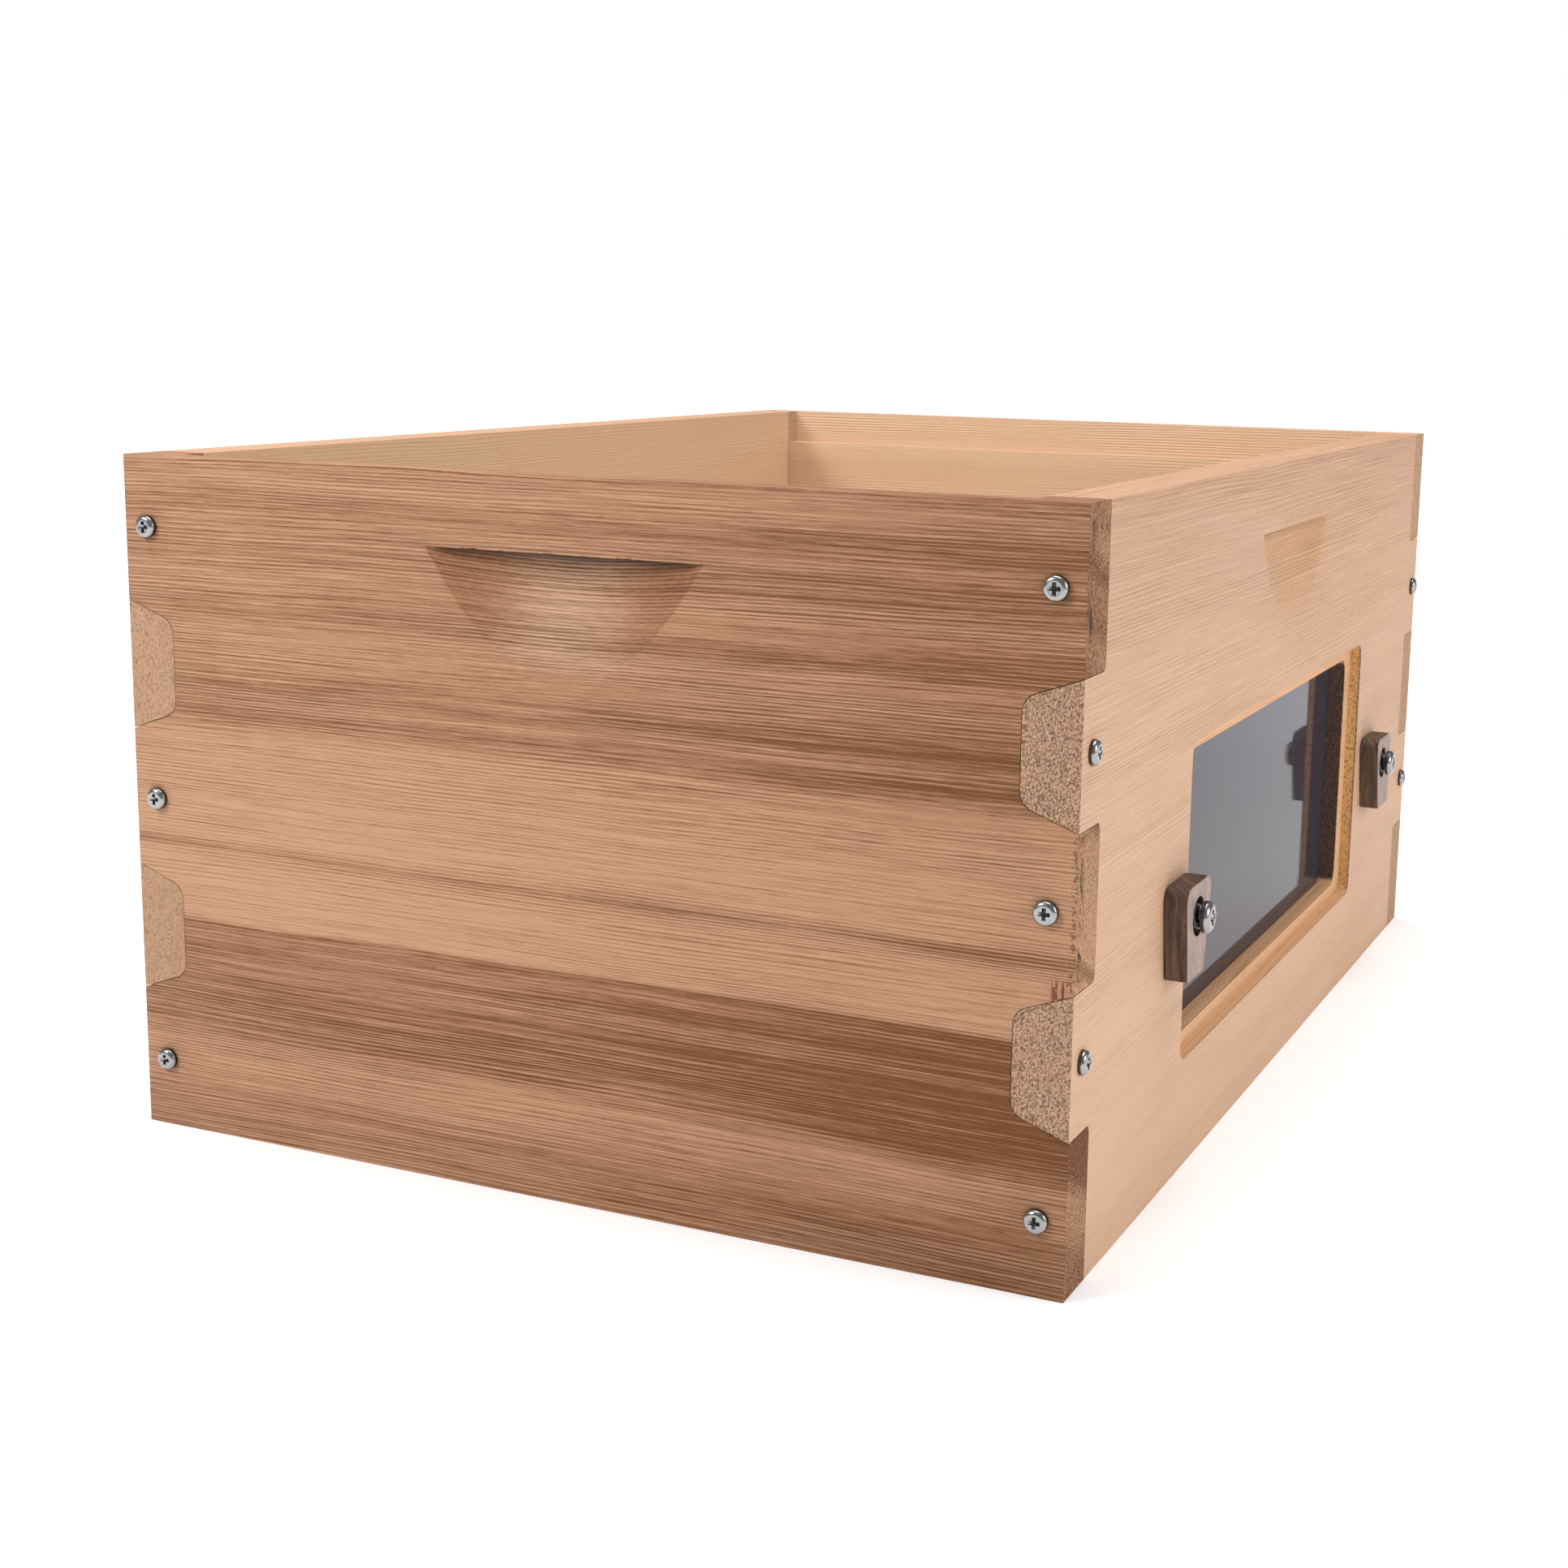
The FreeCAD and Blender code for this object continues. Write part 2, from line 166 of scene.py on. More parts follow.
class Graph:
    """A node tree. Every node in it comes from one method."""

    def __init__(self, tree: bpy.types.NodeTree) -> None:
        """Empties the tree.

        Args:
            tree: The node tree of a material or of the world.
        """
        self.tree = tree
        tree.nodes.clear()

    def add(
        self, kind: str, settings: dict | None = None, inputs: dict | None = None
    ) -> bpy.types.Node:
        """Adds a node.

        Args:
            kind: The node's type.
            settings: Its attributes, set first. "stops" gives a ramp's (place, colour) pairs.
            inputs: Values or wires by the input's name or number.

        Returns:
            The node.
        """
        node = self.tree.nodes.new(kind)
        for name, value in (settings or {}).items():
            if name == "stops":
                self._set_stops(node.color_ramp, value)
            else:
                setattr(node, name, value)
        for name, value in (inputs or {}).items():
            if isinstance(value, Wire):
                self.tree.links.new(value.socket, node.inputs[name])
            else:
                node.inputs[name].default_value = value
        return node

    @staticmethod
    def _set_stops(ramp: bpy.types.ColorRamp, stops: list[tuple[float, Colour]]) -> None:
        """Writes a ramp's stops.

        Args:
            ramp: The ramp.
            stops: Place from 0 to 1 and colour of each stop, in order.
        """
        while len(ramp.elements) < len(stops):
            ramp.elements.new(1.0)
        for element, (place, colour) in zip(ramp.elements, stops):
            element.position = place
            element.color = (*colour, 1.0)

    def maths(self, operation: str, *values: Number) -> Wire:
        """One Math node.

        Args:
            operation: Its operation.
            values: Its inputs, in order.

        Returns:
            Its output.
        """
        node = self.add("ShaderNodeMath", {"operation": operation}, dict(enumerate(values)))
        return Wire(self, node.outputs[0])

    def split(self, vector: Wire) -> tuple[Wire, Wire, Wire]:
        """The three parts of a vector."""
        node = self.add("ShaderNodeSeparateXYZ", None, {0: vector})
        return tuple(Wire(self, out) for out in node.outputs)

    def join(self, x: Number, y: Number, z: Number) -> Wire:
        """A vector of three values."""
        node = self.add("ShaderNodeCombineXYZ", None, {0: x, 1: y, 2: z})
        return Wire(self, node.outputs[0])

    def noise(
        self, x: Number, y: Number, z: Number, detail: float = 2.0, rough: float = 0.5
    ) -> Wire:
        """Smooth noise from 0 to 1, a unit of its coordinates across.

        Args:
            x: First coordinate.
            y: Second coordinate.
            z: Third coordinate.
            detail: How many finer layers it holds.
            rough: How strong the finer layers are.

        Returns:
            The noise as a value.
        """
        node = self.add(
            "ShaderNodeTexNoise",
            {"noise_dimensions": "3D"},
            {"Vector": self.join(x, y, z), "Scale": 1.0, "Detail": detail, "Roughness": rough},
        )
        return Wire(self, node.outputs[0])

    def cells(self, x: Number, y: Number, z: Number) -> Wire:
        """Distance to the nearest of scattered points.

        Args:
            x: First coordinate.
            y: Second coordinate.
            z: Third coordinate. The points are about a unit apart.

        Returns:
            The distance.
        """
        node = self.add(
            "ShaderNodeTexVoronoi",
            {"feature": "F1"},
            {"Vector": self.join(x, y, z), "Scale": 1.0},
        )
        return Wire(self, node.outputs["Distance"])

    def ramp(self, value: Wire, stops: list[tuple[float, Colour]]) -> Wire:
        """A colour ramp over a value from 0 to 1."""
        node = self.add("ShaderNodeValToRGB", {"stops": stops}, {0: value})
        return Wire(self, node.outputs[0])

    def blend(self, share: Number, first: "Tint", second: "Tint", how: str = "MIX") -> Wire:
        """Two colours through one Mix node.

        Args:
            share: How much of the second there is.
            first: A colour or a wire.
            second: A colour or a wire.
            how: The node's blend type.

        Returns:
            The colour.
        """
        first, second = (c if isinstance(c, Wire) else (*c, 1.0) for c in (first, second))
        node = self.add(
            "ShaderNodeMix",
            {"data_type": "RGBA", "blend_type": how, "clamp_factor": True},
            {0: share, 6: first, 7: second},
        )
        return Wire(self, node.outputs[2])

    def shade(self, colour: "Tint", amount: Number) -> Wire:
        """A colour made lighter or darker.

        Args:
            colour: The colour or a wire.
            amount: The factor.

        Returns:
            The colour.
        """
        node = self.add(
            "ShaderNodeVectorMath", {"operation": "SCALE"}, {0: colour, "Scale": amount}
        )
        return Wire(self, node.outputs[0])

    def relief(self, height: Wire, depth: float, strength: float = 1.0) -> Wire:
        """A Bump node.

        Args:
            height: From 0, low, to 1, high.
            depth: Metres between the two.
            strength: The node's strength.

        Returns:
            The bumped normal.
        """
        node = self.add(
            "ShaderNodeBump", None, {"Height": height, "Distance": depth, "Strength": strength}
        )
        return Wire(self, node.outputs[0])


Tint = Wire | Colour


class SurfaceGraph(Graph):
    """The node tree of one material, with the coordinates of the CAD frame in millimetres."""

    def __init__(self, name: str) -> None:
        """Makes an empty material.

        Args:
            name: The material's name.
        """
        self.material = bpy.data.materials.new(name)
        self.material.use_nodes = True
        super().__init__(self.material.node_tree)
        place = self.add("ShaderNodeTexCoord")
        self.facing = self.split(Wire(self, place.outputs["Normal"]))
        scaled = self.add(
            "ShaderNodeVectorMath",
            {"operation": "SCALE"},
            {0: Wire(self, place.outputs["Object"]), "Scale": 1.0 / MM},
        )
        self.x, self.y, self.z = self.split(Wire(self, scaled.outputs[0]))

    def surface(self, **sockets: Number) -> bpy.types.Material:
        """Ends the material in a Principled shader.

        Args:
            sockets: Its inputs by name, with _ for a space.

        Returns:
            The finished material.
        """
        inputs = {name.replace("_", " "): value for name, value in sockets.items()}
        shader = self.add("ShaderNodeBsdfPrincipled", None, inputs)
        self.add("ShaderNodeOutputMaterial", None, {0: Wire(self, shader.outputs[0])})
        return self.material


# ---------------------------------------------------------------- finishes


@dataclass(frozen=True)
class Layer:
    """Tone of the wood at one height on a board, from 0, dark, to 1, light."""

    height: float
    tone: float


@dataclass(frozen=True)
class Spot:
    """A place on a board: along the grain, up the board and below its outer face."""

    run: Wire
    height: Wire
    depth: Wire


@dataclass(frozen=True)
class Figure:
    """Noise drawn out along the grain. One without a depth is the same all through the board."""

    length: float
    height: float
    depth: float | None = None
    offset: float = 0.0
    detail: float = 2.0
    rough: float = 0.5

    def draw(self, g: Graph, spot: Spot, seed: float) -> Wire:
        """Adds the noise to a graph.

        Args:
            g: The graph.
            spot: The place on the board.
            seed: The board's own offset.

        Returns:
            The noise, from 0 to 1.
        """
        third = seed + self.offset
        if self.depth is not None:
            third = spot.depth * (1 / self.depth) + third
        run, height = spot.run * (1 / self.length), spot.height * (1 / self.height)
        return g.noise(run, height, third, self.detail, self.rough)


@dataclass(frozen=True)
class Grain:
    """Masks of a board's grain, and the tone that they add up to."""

    tone: Wire
    late: Wire
    patch: Wire
    fibre: Wire
    dash: Wire
    blush: Wire
    wood: Wire


SLOW_BEND = Figure(280, 60, 60)
QUICK_BEND = Figure(80, 10, 9, offset=5, detail=1)
RING_DRIFT = Figure(420, 12)
RING_PATCH = Figure(150, 14, offset=9)
FIBRE = Figure(11, 0.42, 1 / 1.3, detail=3, rough=0.7)
RIB = Figure(55, 0.8, offset=23, detail=1.5, rough=0.6)
STREAK = Figure(140, 1.7, offset=3, detail=4, rough=0.62)
DASH = Figure(7.5, 0.5, 1)
BLUSH = Figure(110, 22, offset=17)
SPECK = Figure(3, 0.7, 0.5, detail=3, rough=0.7)
PIT = Figure(2.2, 1.3, 0.8, detail=1.5)
TORN_TOOTH = Figure(1.1, 5, detail=1)
TORN_NICK = Figure(1.4, 1.8, offset=2, detail=1)


@dataclass(frozen=True)
class Cedar:
    """Planed cedar in one board. Lengths are millimetres."""

    name: str
    grain: Axis
    outer_place: float
    outward: float
    light: Colour
    dark: Colour
    inside: Colour
    layers: tuple[Layer, ...]
    end_light: Colour = (0.50, 0.30, 0.17)
    end_dark: Colour = (0.20, 0.10, 0.055)
    ring_pitch: float = 1.25
    ring_depth: float = 0.52
    lean: float = 0.45
    wander: float = 6.0
    contrast: float = 1.0
    # Strength of the painted shade that darkens a board towards the window side.
    shade_towards_window: float = 0.0
    seed: float = 0.0
    board_height: float = 244.5
    middle: float = 0.0
    half_run: float = 254.0
    # Tone and painted highlight down the middle of the handhold's hollow, painted shade on its
    # flanks, and the strength of the painted shadow below its roof.
    scoop_highlight_and_tone: Colour = (1.0, 0.97, 0.90)
    flank_shade: Colour = (0.97, 0.95, 0.92)
    lens: float = 0.3
    end_contrast: float = 1.6
    end_tone: float = 0.3
    tear: Colour | None = None
    # Fresh-cut tone of the recess round the window, brightened as painted light against the recess's
    # shade.
    honey_and_painted_light: Colour | None = None
    inner_end_dark: Colour = (0.170, 0.092, 0.062)
    fresh_end: Colour = (0.80, 0.47, 0.18)
    fleck: Colour = (0.22, 0.085, 0.025)
    rosy: Colour = (1.0, 0.93, 0.93)
    inside_dark: Colour = (0.74, 0.64, 0.54)
    seam_shade: float = 0.94
    handhold_roof: float = 219.8
    handhold_foot: float = 176.0
    handhold_half: float = 58.0
    handhold_floor: float = 13.0
    recess_foot: float = 40.3
    recess_top: float = 155.6
    recess_half: float = 135.4
    recess_floor: float = 4.9
    finger_depth: float = 20.0

    def build(self) -> bpy.types.Material:
        """Makes the material.

        Returns:
            The material of this board.
        """
        g = SurfaceGraph(self.name)
        spot = self._spot(g)
        end, inside = self._facing(g)
        grain = self._grain(g, spot)
        speck, pit = self._end_texture(g, spot)

        colour = self._face_colour(g, spot, grain, inside)
        end_colour = self._end_colour(g, spot, grain, speck, pit)
        colour = g.blend(end, colour, end_colour)
        colour = g.shade(colour, 1.0 - self._seam(g, spot) * self.seam_shade)

        planed = (1.0 - grain.late) * grain.patch * 0.45 + grain.fibre * 0.45 - grain.dash * 0.3
        sawn = speck * 2.6 - pit * 1.2
        return g.surface(
            Base_Color=colour,
            Roughness=0.60 + (grain.fibre - 0.5) * 0.25 + end * 0.2,
            Normal=g.relief(planed * (1.0 - end) + sawn * end, 0.35 * MM),
            IOR=1.42,
        )

    def _spot(self, g: SurfaceGraph) -> Spot:
        """The place on the board."""
        run, depth = (g.x, g.y) if self.grain is Axis.ACROSS else (g.y, g.x)
        return Spot(run, g.z, (self.outer_place - depth) * self.outward)

    def _facing(self, g: SurfaceGraph) -> tuple[Wire, Wire]:
        """Masks of the end grain and the inside face."""
        across, along, _ = g.facing
        end, out = (across, along) if self.grain is Axis.ACROSS else (along, across)
        return abs(end).rise(0.55, 0.8), (out * -self.outward).rise(0.3, 0.8)

    def _layer_stops(self) -> list[tuple[float, Colour]]:
        """The layers as stops of a grey ramp."""
        ordered = sorted(self.layers, key=lambda layer: layer.height)
        return [(layer.height / self.board_height, (layer.tone,) * 3) for layer in ordered]

    def _grain(self, g: Graph, spot: Spot) -> Grain:
        """Growth rings, ribs, streaks and fibres over the board's layers, with painted shade towards
        the window side.

        Args:
            g: The graph.
            spot: The place on the board.

        Returns:
            The grain's masks.
        """
        slow = SLOW_BEND.draw(g, spot, self.seed)
        quick = QUICK_BEND.draw(g, spot, self.seed)
        bend = (slow - 0.5) * self.wander + (quick - 0.5)
        level = spot.height + spot.depth * self.lean + bend
        tone = g.split(g.ramp(level / self.board_height, self._layer_stops()))[0]

        # Rings are soft saw teeth whose pitch drifts. Everything follows the bent layers
        bent = Spot(spot.run, level, spot.depth)
        drift = RING_DRIFT.draw(g, bent, self.seed)
        ring = (level / self.ring_pitch + drift * 4.0).part()
        late = ring.rise(0.25, 0.80) * ring.rise(1.0, 0.86)
        hair = (level / (self.ring_pitch * 0.47) + drift * 9.0).part().rise(0.3, 0.9)
        patch = RING_PATCH.draw(g, bent, self.seed).rise(0.36, 0.62)
        fibre = FIBRE.draw(g, bent, self.seed)
        rib = RIB.draw(g, bent, self.seed)
        streak = STREAK.draw(g, bent, self.seed)
        dash = DASH.draw(g, bent, self.seed).rise(0.64, 0.78)
        blush = BLUSH.draw(g, bent, self.seed).rise(0.35, 0.7)
        lines = (
            (late - 0.35) * (patch * 0.7 + 0.3) * -self.ring_depth
            + (hair - 0.45) * -0.18
            + (rib - 0.5) * 1.2
            + (streak - 0.5) * (1.95 - tone * 1.5)
            + (fibre - 0.5) * 1.25
            - dash * 0.20
        )
        # Painted shade: the board darkens towards the window side, where less light falls.
        wear_and_shade = spot.run.rise(-60.0, 175.0) * (1.06 - tone) * self.shade_towards_window
        return Grain(tone, late, patch, fibre, dash, blush, tone + lines * self.contrast - wear_and_shade)

    def _face_colour(self, g: SurfaceGraph, spot: Spot, grain: Grain, inside: Wire) -> Wire:
        """Colour of the faces along the grain.

        Args:
            g: The graph.
            spot: The place on the board.
            grain: The grain's masks.
            inside: Mask of the inside face.

        Returns:
            The colour.
        """
        colour = g.blend(grain.wood, self.dark, self.light)
        colour = g.blend(grain.blush * 0.3, colour, self.rosy, "MULTIPLY")
        deep = tuple(c * t for c, t in zip(self.inside, self.inside_dark))
        colour = g.blend(inside, colour, g.blend(grain.wood * 0.8 + 0.2, deep, self.inside))
        if self.honey_and_painted_light:
            # Fresh-cut tone, brightened as painted light where the recess is in shade.
            colour = g.blend(self._recess(g, spot), colour, self.honey_and_painted_light, "MULTIPLY")
        colour = self._handhold(g, spot, colour)
        if self.tear:
            colour = g.blend(self._torn(g, spot), colour, self.tear)
        return colour

    def _handhold(self, g: Graph, spot: Spot, colour: Wire) -> Wire:
        """Paints a highlight and tone on the middle of the handhold's hollow, painted shade on its
        flanks and a painted shadow below its roof edge.

        Args:
            g: The graph.
            spot: The place on the board.
            colour: The wood's colour.

        Returns:
            The colour with the handhold in it.
        """
        height, depth = spot.height, spot.depth
        roof, foot, half = self.handhold_roof, self.handhold_foot, self.handhold_half
        aside = abs(spot.run - self.middle)
        hold = depth.rise(0.1, 0.5) * aside.rise(half + 2.0, half) * height.rise(foot - 4.0, foot)
        hold = hold * height.rise(roof + 0.7, roof)
        hold = hold * depth.rise(self.handhold_floor + 0.5, self.handhold_floor)
        # Tone and painted highlight down the middle of the hollow.
        lit = hold * aside.rise(32.0, 6.0) * height.rise(foot - 1.0, foot + 16.0)
        colour = g.blend(lit, colour, self.scoop_highlight_and_tone, "MULTIPLY")
        # Painted shade on the flanks.
        sides = hold * aside.rise(10.0, 42.0) * height.rise(foot + 8.0, foot + 24.0)
        colour = g.blend(sides, colour, self.flank_shade, "MULTIPLY")
        # Painted shadow below the roof edge; lens sets its strength.
        under = hold * (height - aside * 0.045).rise(roof - 6.8, roof - 1.2) * depth.rise(0.6, 3.0)
        return g.shade(colour, 1.0 - under * self.lens)

    def _end_texture(self, g: Graph, spot: Spot) -> tuple[Wire, Wire]:
        """Speckle of cut tubes on the end grain, and its torn pits.

        Args:
            g: The graph.
            spot: The place on the board.

        Returns:
            The speckle and the mask of the pits.
        """
        cell = g.cells(
            spot.run * (1 / 4.0) + self.seed, spot.height * (1 / 0.85), spot.depth * (1 / 0.62)
        )
        speck = SPECK.draw(g, spot, self.seed) * 0.55 + (0.95 - cell) * 0.45
        return speck, PIT.draw(g, spot, self.seed).rise(0.56, 0.68)

    def _end_colour(self, g: Graph, spot: Spot, grain: Grain, speck: Wire, pit: Wire) -> Wire:
        """Colour of the end grain.

        Args:
            g: The graph.
            spot: The place on the board.
            grain: The grain's masks.
            speck: The speckle of cut tubes.
            pit: Mask of the pits.

        Returns:
            The colour.
        """
        cut = (speck - 0.5) * 2.0 * self.end_contrast + 0.66
        cut = cut + (grain.tone - 0.7) * self.end_tone - grain.late * 0.15
        colour = g.blend(cut, self.end_dark, self.end_light)
        colour = g.blend(pit * 0.3 * self.end_contrast, colour, self.end_dark)
        return self._window_ends(g, spot, colour, pit) if self.honey_and_painted_light else colour

    def _seam(self, g: SurfaceGraph, spot: Spot) -> Wire:
        """Mask of the eased edges where two boards meet, which hold shade and dust.

        Args:
            g: The graph.
            spot: The place on the board.

        Returns:
            The mask.
        """
        across, along, up = (abs(part) for part in g.facing)
        squarest = g.maths("MAXIMUM", g.maths("MAXIMUM", across, along), up)
        inset = self.half_run - abs(spot.run - self.middle)
        joint = inset.rise(self.finger_depth + 1.0, self.finger_depth)
        joint = joint * spot.height.rise(1.5, 2.5) * spot.height.rise(243.0, 242.0)
        arris = inset.rise(2.8, 2.2) * spot.depth.rise(2.8, 2.2)
        return squarest.rise(0.94, 0.80) * joint * (1.0 - arris)

    def _torn(self, g: Graph, spot: Spot) -> Wire:
        """Mask of the red torn fibres along the arris next to the window wall.

        Args:
            g: The graph.
            spot: The place on the board.

        Returns:
            The mask.
        """
        height = spot.height
        inset = self.half_run - (spot.run - self.middle)
        teeth = TORN_TOOTH.draw(g, spot, self.seed).rise(0.52, 0.55) * inset.rise(8.5, 6.0)
        low = teeth * height.rise(94.0, 95.0) * height.rise(103.0, 100.0)
        nick = TORN_NICK.draw(g, spot, self.seed).rise(0.52, 0.60) * inset.rise(2.4, 1.2)
        edge = nick * height.rise(98.0, 102.0) * height.rise(152.0, 148.0)
        return (low * 0.95 + edge * 0.7) * spot.depth.rise(2.0, 1.0)

    def _recess(self, g: SurfaceGraph, spot: Spot) -> Wire:
        """Mask of the freshly cut surfaces below the outer face round the window.

        Args:
            g: The graph.
            spot: The place on the board.

        Returns:
            The mask.
        """
        tall = g.z.rise(self.recess_foot - 0.8, self.recess_foot)
        tall = tall * g.z.rise(self.recess_top + 0.8, self.recess_top)
        long = abs(g.y).rise(self.recess_half + 1.0, self.recess_half)
        return tall * long * spot.depth.rise(0.55, 0.95)

    def _window_ends(self, g: SurfaceGraph, spot: Spot, colour: Wire, pit: Wire) -> Wire:
        """End grain round the window: fresh orange in the recess, and dark brown further in.

        Args:
            g: The graph.
            spot: The place on the board.
            colour: The end grain's colour elsewhere.
            pit: Mask of its pits.

        Returns:
            The colour with the window's end grain in it.
        """
        fleck = g.noise(g.y, g.z * (1 / 1.5), spot.depth * (1 / 0.9), 2.5).rise(0.50, 0.66)
        fresh = g.blend(fleck * 0.7, self.fresh_end, self.fleck)
        stripe = g.noise(g.x * (1 / 1.2), g.z * (1 / 3.2), 4.0, 2.0).rise(0.3, 0.7)
        inner_end = g.blend(stripe, tuple(c * 0.55 for c in self.inner_end_dark), self.inner_end_dark)
        inner_end = g.blend(pit * 0.8, inner_end, tuple(c * 0.25 for c in self.inner_end_dark))
        fresh = g.blend(spot.depth.rise(self.recess_floor, self.recess_floor + 0.3), fresh, inner_end)
        return g.blend(self._recess(g, spot), colour, fresh)


@dataclass(frozen=True)
class Walnut:
    """Sawn dark hardwood of a turn-button."""

    name: str = "dark_hardwood"
    light: Colour = (0.165, 0.095, 0.060)
    dark: Colour = (0.040, 0.020, 0.013)
    face: Colour = (0.40, 0.29, 0.235)
    stripe_width: float = 1.3
    swirl: float = 5.0
    pore_length: float = 2.2
    seed: float = 0.0

    def build(self) -> bpy.types.Material:
        """Makes the material.

        Returns:
            The material.
        """
        g = SurfaceGraph(self.name)
        outer = g.facing[0].rise(0.55, 0.9)
        bend = g.noise(g.x * (1 / 9), g.y * (1 / 9), g.z * (1 / 30) + self.seed, 2.0)
        level = g.y * 0.55 + g.x * 0.8 + g.z * 0.10 + bend * self.swirl
        stripe = g.noise(level * (1 / self.stripe_width), g.z * (1 / 30), self.seed, 3.0, 0.6)
        fibre = g.noise(g.x * 2.4, g.y * 2.4, g.z * (1 / 5) + self.seed, 2.0, 0.6)
        pore = g.noise(g.x * 3.2, g.y * 3.2, g.z * (1 / self.pore_length) + self.seed, 1.0)
        pore = pore.rise(0.64, 0.74)
        tone = (stripe - 0.5) * 3.2 + 0.45 + (fibre - 0.5) * 0.9
        colour = g.blend(tone, self.dark, self.light)
        planed = g.shade(self.face, tone * 0.35 + 0.72)
        colour = g.blend(outer, colour, planed)
        colour = g.blend(pore * 0.55, colour, self.dark)
        return g.surface(
            Base_Color=colour,
            Roughness=0.55 + (fibre - 0.5) * 0.3,
            Normal=g.relief(fibre - pore * 0.8, 0.18 * MM, 0.8),
            IOR=1.45,
        )


@dataclass(frozen=True)
class Steel:
    """Bright or dark steel with fine tool marks. An axis darkens the recess of heads along it."""

    name: str
    colour: Colour
    smooth: float = 0.16
    wear_and_shade: float = 0.16
    axis: Axis | None = None
    centre: float = 0.0
    crown: float = 0.0
    wall_shade: float = 0.75
    recess_shade: float = 0.9

    def build(self) -> bpy.types.Material:
        """Makes the material.

        Returns:
            The material.
        """
        g = SurfaceGraph(self.name)
        cloud = g.noise(g.x * 0.8, g.y * 0.8, g.z * 0.8, 3.0, 0.6)
        scratch = g.noise(g.x * 6.0, g.y * 6.0, g.z * 1.2, 2.0, 0.6)
        colour = g.shade(self.colour, cloud * 0.3 + 0.85)
        if self.axis is not None:
            reach = abs((g.x, g.y, g.z)[self.axis.value] - self.centre)
            facing = abs(g.facing[self.axis.value])
            steep = facing.rise(0.40, 0.10)
            floor = facing.rise(0.85, 0.95) * reach.rise(self.crown - 0.5, self.crown - 0.9)
            colour = g.shade(colour, 1.0 - steep * self.wall_shade - floor * self.recess_shade)
        return g.surface(
            Base_Color=colour,
            Metallic=1.0,
            Roughness=self.smooth + cloud * self.wear_and_shade,
            Normal=g.relief(scratch, 0.02 * MM, 0.5),
        )


@dataclass(frozen=True)
class SmokedGlazing:
    """Polished dark sheet that mirrors its surroundings."""

    name: str = "smoked_glazing"
    body: Colour = (0.040, 0.034, 0.042)
    sheen: Colour = (0.62, 0.77, 1.0)

    def build(self) -> bpy.types.Material:
        """Makes the material.

        Returns:
            The material.
        """
        g = SurfaceGraph(self.name)
        haze = g.noise(g.x * (1 / 30), g.y * (1 / 30), g.z * (1 / 22), 2.0)
        dust = g.noise(g.x * 1.7, g.y * 1.7, g.z * 1.7, 1.0).rise(0.70, 0.80)
        colour = g.blend(haze * 0.4 + dust * 0.3, self.body, tuple(c * 1.5 for c in self.body))
        return g.surface(
            Base_Color=colour,
            Roughness=0.03 + haze * 0.04 + dust * 0.06,
            IOR=1.50,
            Specular_IOR_Level=0.10,
            Specular_Tint=(*self.sheen, 1.0),
        )


@dataclass(frozen=True)
class PaleGround:
    """Matt pale studio floor that glows as painted light: dim near the box, brighter and bluer
    further out, brightest towards the horizon.
    """

    name: str = "pale_floor"
    colour: Colour = (0.90, 0.90, 0.90)
    near_glow: Colour = (0.32, 0.32, 0.33)
    far_glow: Colour = (0.96, 0.99, 1.14)
    horizon_glow: Colour = (1.45, 1.46, 1.5)

    def build(self) -> bpy.types.Material:
        """Makes the material.

        Returns:
            The material.
        """
        g = SurfaceGraph(self.name)
        cloud = g.noise(g.x * (1 / 900), g.y * (1 / 900), 0.0, 2.0)
        colour = g.shade(self.colour, cloud * 0.03 + 0.985)
        reach = (g.x * g.x + g.y * g.y) ** 0.5
        # Painted light: the floor's glow grows with the distance from the box.
        glow = g.blend(reach.rise(450.0, 1500.0), self.near_glow, self.far_glow)
        glow = g.blend(reach.rise(1300.0, 2300.0), glow, self.horizon_glow)
        return g.surface(
            Base_Color=colour, Roughness=0.9, Emission_Color=glow, Emission_Strength=0.68
        )


# ---------------------------------------------------------------- mesh tools


@dataclass(frozen=True)
class Nicks:
    """Small splinters missing along an edge of a board. Lengths are millimetres."""

    start: Point
    end: Point
    inward: Point
    outward: Point
    count: int
    longest: float
    deepest: float
    tallest: float
    seed: int

    def cut_into(self, work: bmesh.types.BMesh) -> None:
        """Adds one wedge for each splinter to a cutting mesh.

        Args:
            work: The mesh that will be cut away.
        """
        chance = np.random.default_rng(self.seed)
        start, end = Vector(self.start), Vector(self.end)
        along = (end - start).normalized()
        inward, outward = Vector(self.inward), Vector(self.outward)
        for place in sorted(chance.uniform(0.02, 0.98, self.count)):
            size = chance.uniform(0.35, 1.0)
            reach = self.longest * size / 2
            deep = self.deepest * chance.uniform(0.4, 1.0)
            tall = self.tallest * size * chance.uniform(0.5, 1.0)
            middle = start.lerp(end, place)
            skew = reach * chance.uniform(-0.6, 0.6)
            base = middle + outward * self.deepest * 0.5 - inward * self.tallest * 0.5
            far = outward * -(deep + self.deepest * 0.5)
            up = inward * (tall + self.tallest * 0.5)
            corners = [
                base - along * reach, base + along * reach,
                base + up + along * skew,
                base + far - along * reach * 0.8, base + far + along * reach * 0.8,
                base + far + up * 0.8 + along * skew,
            ]
            points = [work.verts.new(corner * MM) for corner in corners]
            for face in ((0, 1, 2), (3, 5, 4), (0, 3, 4, 1), (1, 4, 5, 2), (2, 5, 3, 0)):
                work.faces.new([points[i] for i in face])


